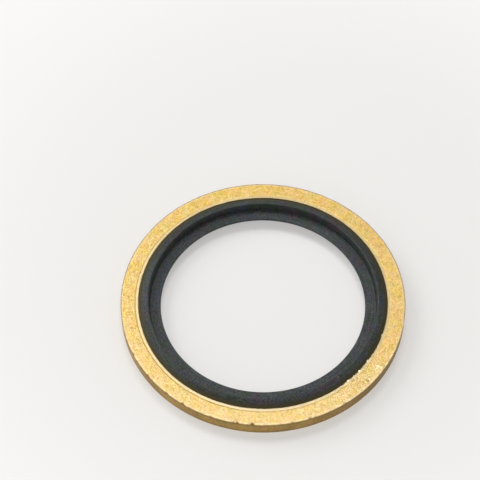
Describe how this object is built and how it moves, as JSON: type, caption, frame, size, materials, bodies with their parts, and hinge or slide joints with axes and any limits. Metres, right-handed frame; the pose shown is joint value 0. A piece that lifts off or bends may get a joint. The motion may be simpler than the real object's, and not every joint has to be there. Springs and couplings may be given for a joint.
{
  "type": "bonded sealing washer",
  "caption": "Flat round steel washer with a rubber sealing bead bonded in its bore and a thin centring lip, for sealing a threaded joint.",
  "frame": {"origin": "centre of the bore, on the plane that the washer rests on", "axes": "+Z along the bore, square to both sealing faces; X and Y are alike, because the washer is round"},
  "size_m": [0.035, 0.035, 0.0029],
  "materials": {
    "plated_steel": "steel, zinc plated with a yellow passivate, fine matt grain",
    "nitrile_rubber": "moulded black nitrile rubber, satin"
  },
  "bodies": {
    "root": {"metal_ring": "plated_steel", "sealing_ring": "nitrile_rubber"}
  },
  "joints": []
}
